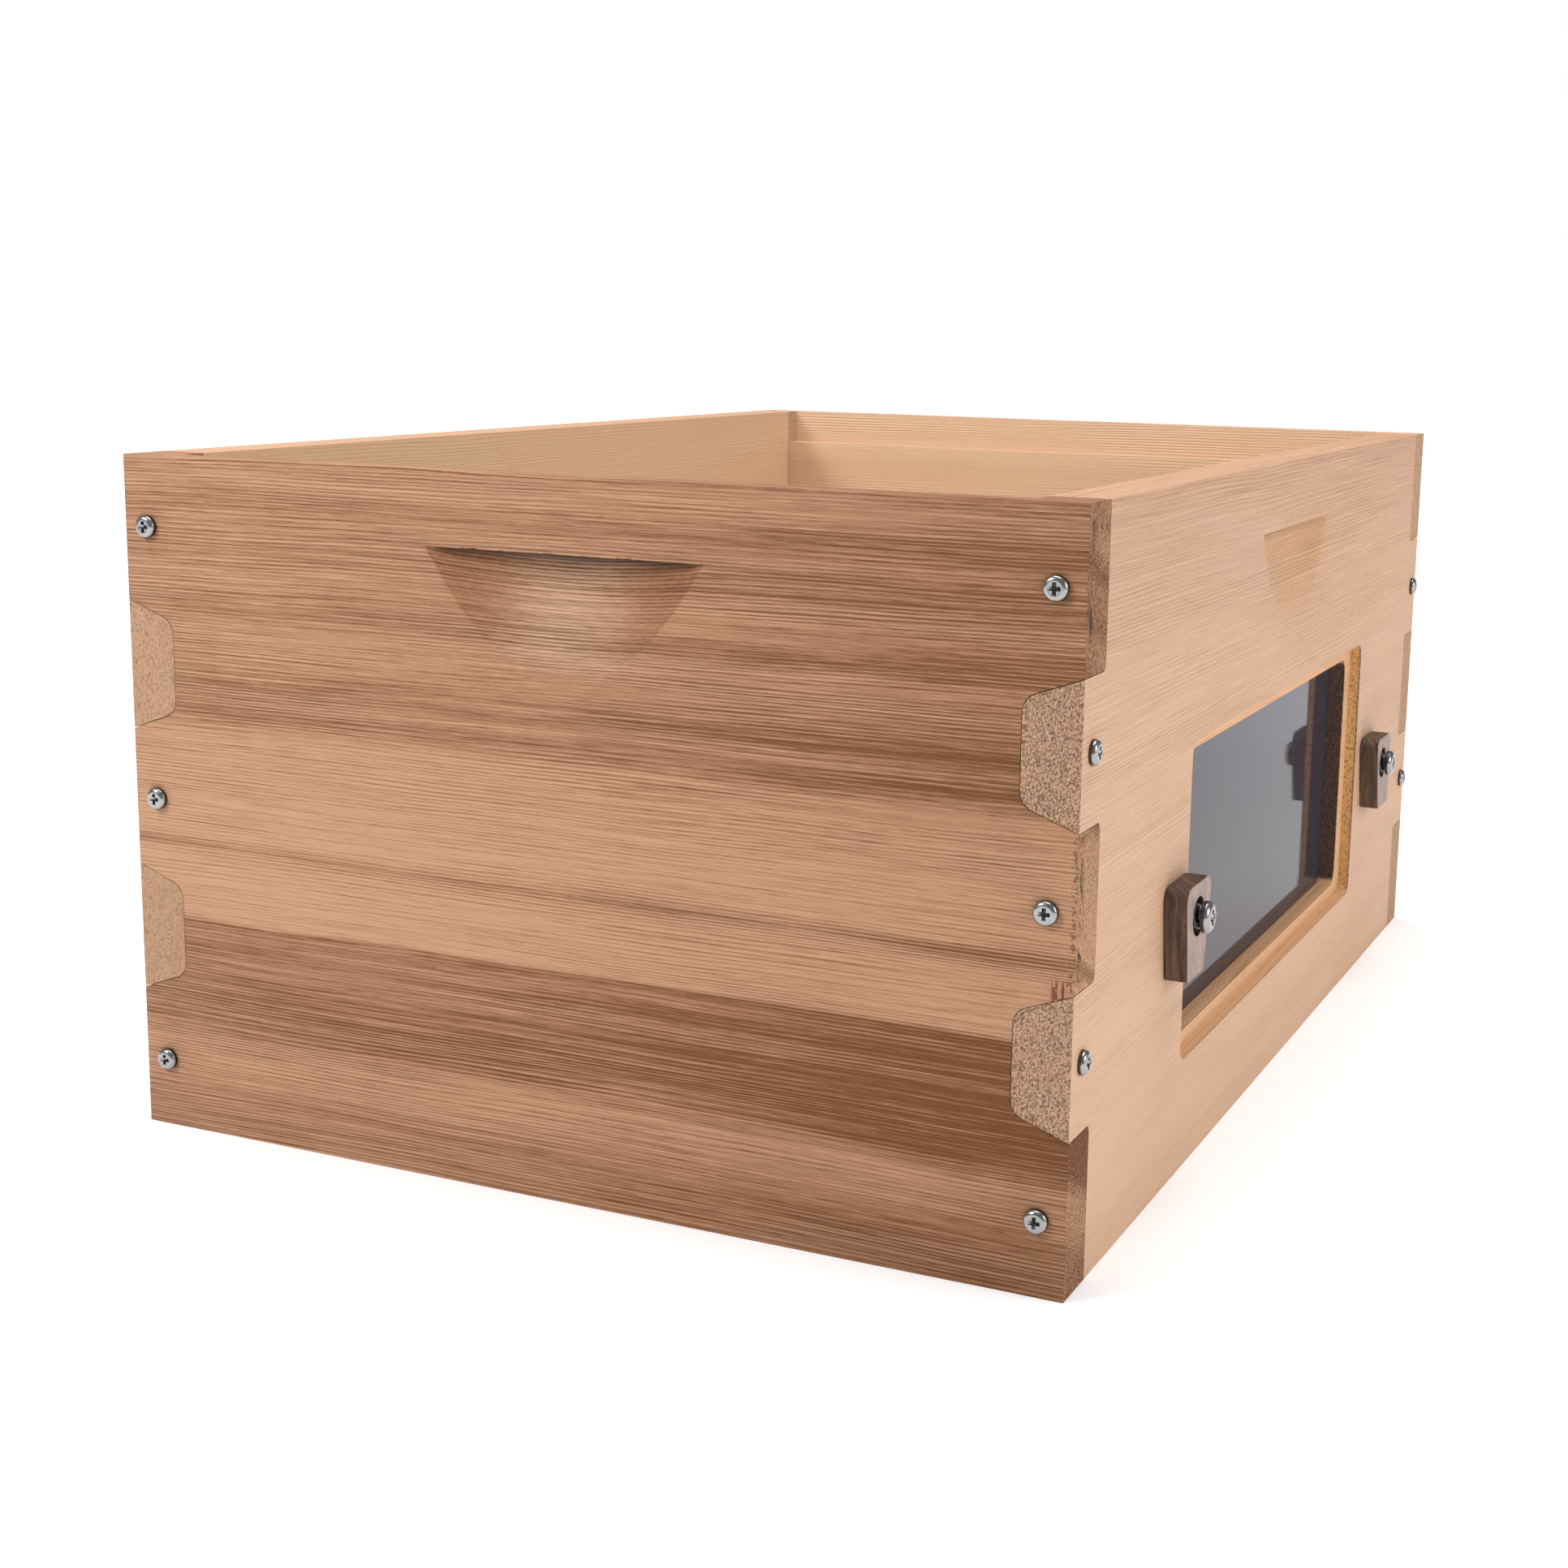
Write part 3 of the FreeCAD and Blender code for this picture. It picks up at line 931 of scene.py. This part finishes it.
@dataclass
class Workshop:
    """The loaded frame and the tools that make pieces. Angles are degrees."""

    frame: dict
    weld: float = 0.002 * MM
    flat_angle: float = 0.5
    edge_angle: float = 32.0
    smooth_angle: float = 40.0
    ease_steps: int = 2

    def place(self, mesh: bpy.types.Mesh, name: str, body: str) -> bpy.types.Object:
        """Makes an object of a mesh and rides it on a body.

        Args:
            mesh: The mesh, in the CAD frame.
            name: The piece's name.
            body: The CAD body it moves with.

        Returns:
            The piece.
        """
        piece = bpy.data.objects.new(name, mesh)
        bpy.context.scene.collection.objects.link(piece)
        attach(piece, body)
        return piece

    def eased_copy(self, node: str, name: str, ease: float) -> bpy.types.Object:
        """A piece with the shape of a CAD node and softened edges, in the node's stead.

        Args:
            node: The CAD node.
            name: The new piece's name.
            ease: Width of the softened edges in metres.

        Returns:
            The piece.
        """
        source = self.frame["nodes"][node]
        work = bmesh.new()
        work.from_mesh(source.data)
        bmesh.ops.remove_doubles(work, verts=work.verts, dist=self.weld)
        bmesh.ops.dissolve_limit(
            work,
            angle_limit=math.radians(self.flat_angle),
            verts=work.verts,
            edges=work.edges,
            delimit={"NORMAL"},
        )
        mesh = bpy.data.meshes.new(name)
        work.to_mesh(mesh)
        work.free()
        piece = self.place(mesh, name, source["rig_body"])
        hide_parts(node)
        edge = piece.modifiers.new("eased", "BEVEL")
        edge.width = ease
        edge.segments = self.ease_steps
        edge.limit_method = "ANGLE"
        edge.angle_limit = math.radians(self.edge_angle)
        edge.use_clamp_overlap = True
        edge.miter_outer = "MITER_ARC"
        self.smooth(mesh, self.smooth_angle)
        return piece

    def splinter(self, piece: bpy.types.Object, nicks: Iterable[Nicks]) -> None:
        """Cuts small splinters out of a piece whose edges are already softened.

        Args:
            piece: The piece.
            nicks: The splintered edges.
        """
        work = bmesh.new()
        for edge in nicks:
            edge.cut_into(work)
        bmesh.ops.recalc_face_normals(work, faces=work.faces)
        mesh = bpy.data.meshes.new("cutter")
        work.to_mesh(mesh)
        work.free()
        cutter = bpy.data.objects.new("cutter", mesh)
        bpy.context.scene.collection.objects.link(cutter)
        cut = piece.modifiers.new("splinters", "BOOLEAN")
        cut.operation = "DIFFERENCE"
        cut.solver = "EXACT"
        cut.use_self = True
        cut.object = cutter
        bpy.context.view_layer.update()
        shaped = piece.evaluated_get(bpy.context.evaluated_depsgraph_get())
        final = bpy.data.meshes.new_from_object(shaped)
        piece.modifiers.clear()
        piece.data = final
        bpy.data.objects.remove(cutter)
        self.smooth(final, self.smooth_angle)

    @staticmethod
    def smooth(mesh: bpy.types.Mesh, angle: float) -> None:
        """Shades a mesh smooth up to an angle in degrees."""
        for face in mesh.polygons:
            face.use_smooth = True
        mesh.set_sharp_from_angle(angle=math.radians(angle))

    @staticmethod
    def dress(piece: bpy.types.Object, material: bpy.types.Material, slot: str) -> None:
        """Gives a new piece its material.

        Args:
            piece: The piece.
            material: Its material.
            slot: The slot's name. It is not used.
        """
        piece.data.materials.clear()
        piece.data.materials.append(material)
        log.info("%s in %s", piece.name, material.name)

    def refinish(self, node: str, material: bpy.types.Material) -> None:
        """Gives a CAD node that stays a material of its own.

        Args:
            node: The CAD node.
            material: The new material.
        """
        for slot in self.frame["nodes"][node].material_slots:
            slot.material = material
        log.info("%s keeps its shape, in %s", node, material.name)


# ---------------------------------------------------------------- sub-assemblies


@dataclass
class Carcass:
    """The four boards."""

    shop: Workshop
    half_length: float = 254.0
    left_face: float = -183.25
    window_face: float = 172.35
    middle: float = -5.45
    half_width: float = 177.8
    top: float = 244.5
    handhold_roof: float = 219.3
    ease: float = 0.6 * MM

    def front_finish(self) -> Cedar:
        """The front board's finish, with its dark and light layers."""
        under_the_top = (
            (244, 0.60), (236, 0.70), (228, 0.44), (223, 0.62), (212, 0.50), (205, 0.68),
            (192, 0.44), (187, 0.66), (175, 0.62),
        )
        brown_lines = ((165, 0.38), (161, 0.62), (156, 0.36))
        pale_middle = (
            (149, 0.78), (130, 0.88), (111, 0.90), (107, 0.56), (103, 0.90), (84, 0.92),
        )
        dark_band = (
            (81.5, 0.92), (80, 0.22), (77, 0.48), (71, 0.30), (66, 0.50), (61, 0.32),
            (50, 0.34), (42, 0.38),
        )
        foot = ((34, 0.76), (24, 0.72), (15, 0.54), (3, 0.60))
        heights = (*under_the_top, *brown_lines, *pale_middle, *dark_band, *foot)
        return Cedar(
            "cedar_front",
            Axis.ACROSS,
            -self.half_length,
            -1.0,
            light=(0.52, 0.283, 0.160),
            dark=(0.158, 0.050, 0.006),
            inside=(0.62, 0.41, 0.24),
            end_light=(0.62, 0.35, 0.19),
            end_dark=(0.15, 0.042, 0.006),
            end_contrast=1.0,
            end_tone=1.5,
            middle=self.middle,
            half_run=self.half_width,
            # Painted highlight in the handhold's hollow, painted shadow below its roof (lens) and
            # painted shade on its flanks.
            scoop_highlight_and_tone=(1.20, 1.38, 1.56),
            lens=0.85,
            flank_shade=(0.78, 0.68, 0.58),
            tear=(0.17, 0.035, 0.014),
            layers=tuple(Layer(*pair) for pair in heights),
            seed=2.0,
            # Painted shade towards the window side.
            shade_towards_window=0.55,
        )

    def rear_finish(self) -> Cedar:
        """The rear board's finish, pale and even."""
        heights = (
            (240, 0.8), (200, 0.9), (150, 0.74), (140, 0.9), (90, 0.86), (60, 0.95), (10, 0.85),
        )
        return Cedar(
            "cedar_rear",
            Axis.ACROSS,
            self.half_length,
            1.0,
            light=(0.62, 0.37, 0.22),
            dark=(0.30, 0.14, 0.07),
            inside=(0.69, 0.465, 0.29),
            middle=self.middle,
            half_run=self.half_width,
            end_light=(0.66, 0.425, 0.255),
            end_dark=(0.37, 0.195, 0.105),
            end_contrast=1.2,
            layers=tuple(Layer(*pair) for pair in heights),
            seed=31.0,
            contrast=0.40,
        )

    def left_finish(self) -> Cedar:
        """The left board's finish."""
        heights = (
            (240, 0.86), (215, 0.7), (205, 0.9), (150, 0.82), (110, 0.9), (70, 0.75), (20, 0.9),
        )
        return Cedar(
            "cedar_left",
            Axis.ALONG,
            self.left_face,
            -1.0,
            light=(0.62, 0.37, 0.225),
            dark=(0.30, 0.14, 0.075),
            inside=(0.69, 0.465, 0.29),
            end_light=(0.60, 0.37, 0.225),
            end_dark=(0.40, 0.21, 0.115),
            end_contrast=1.2,
            layers=tuple(Layer(*pair) for pair in heights),
            seed=47.0,
            contrast=0.45,
        )

    def window_finish(self) -> Cedar:
        """The window wall's finish, pale and ribbed near the top."""
        heights = (
            (243, 0.50), (225, 0.60), (200, 0.70), (170, 0.78), (130, 0.84), (116, 0.80),
            (94, 0.88), (60, 0.96), (20, 0.98), (2, 0.92),
        )
        return Cedar(
            "cedar_window_wall",
            Axis.ALONG,
            self.window_face,
            1.0,
            light=(0.66, 0.42, 0.265),
            dark=(0.36, 0.18, 0.095),
            inside=(0.69, 0.465, 0.29),
            end_light=(0.66, 0.415, 0.26),
            end_dark=(0.21, 0.10, 0.058),
            end_contrast=1.7,
            layers=tuple(Layer(*pair) for pair in heights),
            seed=63.0,
            contrast=0.55,
            ring_pitch=1.5,
            # Recess tone, brightened as painted light.
            honey_and_painted_light=(1.12, 1.03, 0.86),
            # Tone and painted highlight in the handhold's hollow, painted shade on its flanks.
            scoop_highlight_and_tone=(1.02, 0.97, 0.86),
            flank_shade=(0.97, 0.91, 0.78),
        )

    def front_splinters(self) -> tuple[Nicks, ...]:
        """Torn fibres at the front handhold's roof, by the window wall and on the top edge."""
        face, right = -self.half_length, self.window_face
        roof, top = self.handhold_roof, self.top
        out, up, down, left = (0, -1, 0), (0, 0, 1), (0, 0, -1), (-1, 0, 0)
        return (
            Nicks((-52, face, roof), (44, face, roof), up, out, 16, 9.0, 1.6, 0.9, 3),
            Nicks((right, face, 98), (right, face, 147), left, out, 11, 3.2, 1.3, 1.5, 5),
            Nicks((right, face, 197), (right, face, 240), left, out, 6, 2.4, 0.9, 1.0, 6),
            Nicks((-150, face, top), (150, face, top), down, out, 14, 6.0, 0.9, 0.5, 8),
        )

    def build(self) -> None:
        """Copies, eases and dresses the boards."""
        for node, finish in (
            ("front_board", self.front_finish()),
            ("rear_board", self.rear_finish()),
            ("left_side_board", self.left_finish()),
            ("window_side_board", self.window_finish()),
        ):
            piece = self.shop.eased_copy(node, f"{node}_planed", self.ease)
            if node == "front_board":
                self.shop.splinter(piece, self.front_splinters())
            self.shop.dress(piece, finish.build(), "cedar")


@dataclass
class Window:
    """The pane with the beads and pins that hold it."""

    shop: Workshop
    pane_ease: float = 0.3 * MM
    bead_ease: float = 0.4 * MM

    def build(self) -> None:
        """Copies, eases and dresses the pane, beads and pins."""
        pane = self.shop.eased_copy("window_pane", "window_pane_polished", self.pane_ease)
        self.shop.dress(pane, SmokedGlazing().build(), "smoked_glazing")
        for number, side in enumerate(("top", "bottom", "front", "rear")):
            node = f"glazing_bead_{side}"
            bead = self.shop.eased_copy(node, f"{node}_eased", self.bead_ease)
            self.shop.dress(bead, self.bead_finish(side, number).build(), "bead_wood")
        self.shop.refinish("bead_pins", Steel("pin_steel", (0.62, 0.61, 0.58)).build())

    @staticmethod
    def bead_finish(side: str, number: int) -> Cedar:
        """The finish of one bead.

        Args:
            side: Which side of the window it is on.
            number: Its number, which sets its grain apart from the others'.

        Returns:
            The finish.
        """
        return Cedar(
            f"bead_{side}",
            Axis.ALONG,
            153.0,
            -1.0,
            light=(0.64, 0.40, 0.22),
            dark=(0.40, 0.21, 0.10),
            inside=(0.64, 0.40, 0.22),
            layers=(Layer(10, 0.8), Layer(230, 0.85)),
            seed=80.0 + 7.0 * number,
            contrast=0.4,
        )


@dataclass
class TurnButtons:
    """The two sprung turn-buttons beside the window."""

    shop: Workshop
    ease: float = 0.5 * MM
    coil_radius: float = 4.0 * MM
    wire_radius: float = 0.5 * MM
    turns: float = 3.5
    steps_per_turn: int = 40
    sides: int = 12
    metal: Colour = (0.345, 0.34, 0.335)

    def build(self) -> None:
        """Makes both buttons with their screws and springs."""
        steel = Steel("pivot_steel", self.metal, axis=Axis.ACROSS, crown=185.65).build()
        dark = Steel("spring_wire", (0.16, 0.16, 0.17), 0.30).build()
        for number, end in enumerate(("front", "rear")):
            node = f"{end}_turn_button"
            button = self.shop.eased_copy(node, f"{node}_sawn", self.ease)
            wood = Walnut(f"dark_hardwood_{end}", seed=4.0 + 11.0 * number)
            self.shop.dress(button, wood.build(), "dark_hardwood")
            self.shop.refinish(f"{end}_pivot_screw", steel)
            spring = self.spring(end)
            self.shop.dress(spring, dark, "spring_steel")

    def spring(self, end: str) -> bpy.types.Object:
        """A smooth round wire coil inside the CAD spring's box.

        Args:
            end: "front" or "rear".

        Returns:
            The coil.
        """
        node = f"{end}_pivot_spring"
        low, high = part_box(node)
        middle = (low + high) / 2
        steps = round(self.turns * self.steps_per_turn)
        work = bmesh.new()
        rings = []
        start, finish = low.x + self.wire_radius, high.x - self.wire_radius
        for step in range(steps + 1):
            angle = 2 * math.pi * step / self.steps_per_turn
            outward = Vector((0, math.cos(angle), math.sin(angle)))
            centre = Vector((start + (finish - start) * step / steps, middle.y, middle.z))
            centre += outward * self.coil_radius
            rings.append([
                work.verts.new(
                    centre
                    + outward * self.wire_radius * math.cos(turn)
                    + Vector((self.wire_radius * math.sin(turn), 0, 0))
                )
                for turn in (2 * math.pi * i / self.sides for i in range(self.sides))
            ])
        for first, second in zip(rings, rings[1:]):
            for i in range(self.sides):
                j = (i + 1) % self.sides
                work.faces.new((first[i], first[j], second[j], second[i]))
        work.faces.new(rings[0][::-1])
        work.faces.new(rings[-1])
        bmesh.ops.recalc_face_normals(work, faces=work.faces)
        mesh = bpy.data.meshes.new(f"{end}_pivot_spring_coil")
        work.to_mesh(mesh)
        work.free()
        self.shop.smooth(mesh, 50.0)
        coil = self.shop.place(mesh, f"{end}_pivot_spring_coil", "hive_body")
        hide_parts(node)
        return coil


@dataclass
class CornerScrews:
    """The pan-head screws in the four corners."""

    shop: Workshop
    metal: Colour = (0.345, 0.34, 0.335)

    def build(self) -> None:
        """Dresses every corner screw."""
        steels = {
            "end": Steel("end_screw_steel", self.metal, axis=Axis.ALONG, crown=256.4).build(),
            "side": Steel(
                "side_screw_steel", self.metal, axis=Axis.ACROSS, centre=-5.45, crown=180.2
            ).build(),
        }
        for node in sorted(self.shop.frame["nodes"]):
            if node.startswith("screw_"):
                self.shop.refinish(node, steels[node.split("_")[3]])


# ---------------------------------------------------------------- studio


@dataclass(frozen=True)
class Softbox:
    """A square area light."""

    name: str
    place: Point
    target: Point
    side: float
    power: float
    colour: Colour = (1.0, 1.0, 1.0)

    def build(self) -> None:
        """Hangs the light and points it at its target."""
        lamp = bpy.data.lights.new(self.name, "AREA")
        lamp.shape = "SQUARE"
        lamp.size = self.side
        lamp.energy = self.power
        lamp.color = self.colour
        hung = bpy.data.objects.new(self.name, lamp)
        hung.location = self.place
        aim = Vector(self.target) - Vector(self.place)
        hung.rotation_euler = aim.to_track_quat("-Z", "Y").to_euler()
        bpy.context.scene.collection.objects.link(hung)


@dataclass
class Studio:
    """Floor, surroundings, lights and camera."""

    floor_half: float = 6.0
    ambient: Colour = (0.27, 0.275, 0.285)
    backdrop: Colour = (1.0, 1.0, 1.0)
    lens: float = 51.687
    camera_place: Point = (0.37783, -0.86988, 0.29618)
    camera_turn: Point = (79.55, -0.977, 24.188)
    shift: tuple[float, float] = (-0.0533, -0.0336)

    def build(self) -> None:
        """Sets the stage."""
        self.floor()
        self.surroundings()
        for box in (
            Softbox("key_front_left", (-0.70, -1.05, 0.95), (-0.1, -0.25, 0.12), 0.40, 10.5),
            Softbox("side_right", (1.5, -0.1, 0.7), (0.17, 0.05, 0.08), 0.8, 8.0),
            Softbox("overhead", (0.0, 0.1, 1.9), (0.0, 0.0, 0.1), 1.2, 34.0),
        ):
            box.build()
        self.camera()

    def floor(self) -> None:
        """Lays the floor."""
        work = bmesh.new()
        bmesh.ops.create_grid(work, x_segments=8, y_segments=8, size=self.floor_half)
        mesh = bpy.data.meshes.new("floor")
        work.to_mesh(mesh)
        work.free()
        ground = bpy.data.objects.new("floor", mesh)
        mesh.materials.append(PaleGround().build())
        bpy.context.scene.collection.objects.link(ground)

    def surroundings(self) -> None:
        """White to look at and a softer grey to be lit by."""
        world = bpy.data.worlds.new("studio")
        world.use_nodes = True
        g = Graph(world.node_tree)
        path = g.add("ShaderNodeLightPath")
        lit = g.add("ShaderNodeBackground", None, {0: (*self.ambient, 1.0)})
        seen = g.add("ShaderNodeBackground", None, {0: (*self.backdrop, 1.0)})
        mixed = {
            0: Wire(g, path.outputs["Is Camera Ray"]),
            1: Wire(g, lit.outputs[0]),
            2: Wire(g, seen.outputs[0]),
        }
        mix = g.add("ShaderNodeMixShader", None, mixed)
        g.add("ShaderNodeOutputWorld", None, {0: Wire(g, mix.outputs[0])})
        scene = bpy.context.scene
        scene.world = world
        scene.view_settings.view_transform = "Standard"

    def camera(self) -> None:
        """Stands the camera at the corner of the front and the window wall."""
        view = bpy.data.cameras.new("camera")
        view.lens = self.lens
        view.sensor_width = 36.0
        view.shift_x, view.shift_y = self.shift
        view.clip_start = 0.02
        stand = bpy.data.objects.new("camera", view)
        stand.location = self.camera_place
        stand.rotation_euler = tuple(math.radians(angle) for angle in self.camera_turn)
        bpy.context.scene.collection.objects.link(stand)
        bpy.context.scene.camera = stand


def main() -> None:
    """Builds the hive body and its studio."""
    logging.basicConfig(level=logging.INFO, format="%(name)s: %(message)s")
    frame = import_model()
    shop = Workshop(frame)
    for assembly in (Carcass(shop), Window(shop), TurnButtons(shop), CornerScrews(shop)):
        assembly.build()
    Studio().build()
    bpy.context.view_layer.update()


if __name__ == "__main__":
    main()
